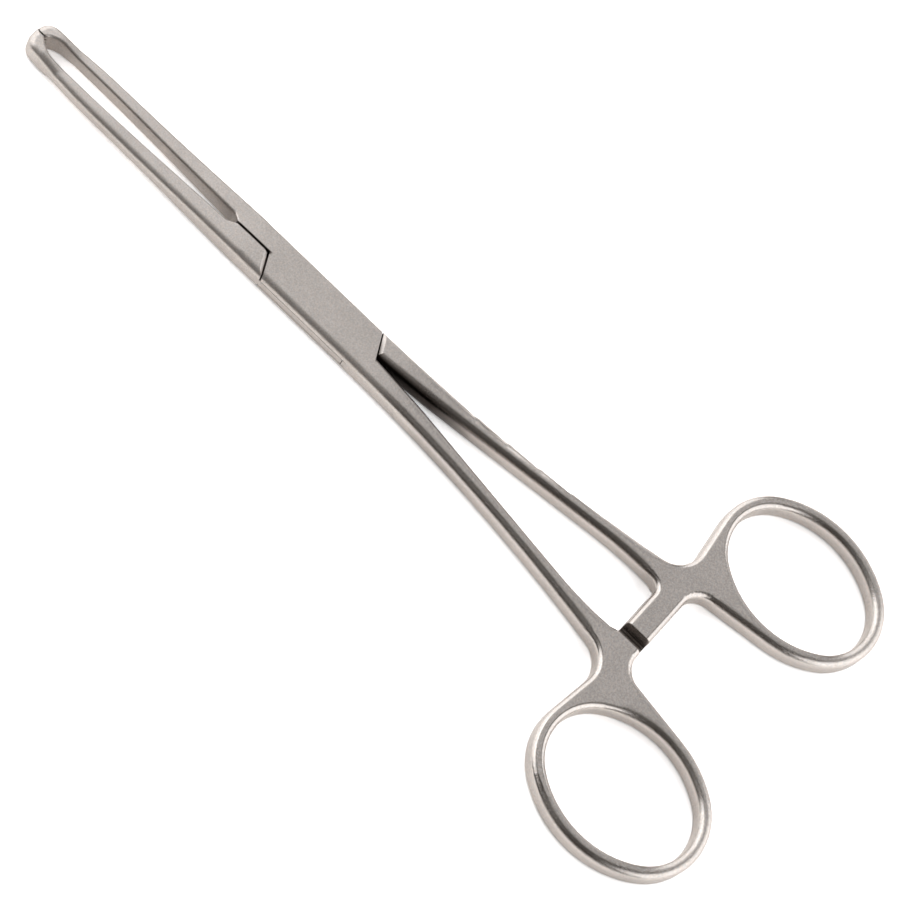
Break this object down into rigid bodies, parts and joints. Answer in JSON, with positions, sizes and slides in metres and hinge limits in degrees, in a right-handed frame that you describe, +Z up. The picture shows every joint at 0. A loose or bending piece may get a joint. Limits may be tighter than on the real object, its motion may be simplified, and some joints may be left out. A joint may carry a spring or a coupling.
{
  "type": "tissue forceps",
  "caption": "Ring-handled tissue forceps with a box lock, slim fenestrated jaws with toothed tips and a ratchet between the finger rings.",
  "frame": {"origin": "on the joint pin's axis, in the plane that the closed forceps rests on", "axes": "+Z up along the joint pin, +Y from the pin towards the jaw tips, +X towards the half whose tongue runs through the box"},
  "size_m": [0.071, 0.155, 0.0038],
  "materials": {
    "satin_steel": "satin, fine grained stainless steel"
  },
  "bodies": {
    "female": {"female_half": "satin_steel", "joint_pin": "satin_steel"},
    "male": {"male_half": "satin_steel"}
  },
  "joints": [
    {"name": "box_hinge", "type": "hinge", "parent": "female", "child": "male", "pos_m": [0, 0, 0.0019], "axis": [0, 0, 1], "range_deg": [0, 45]}
  ]
}
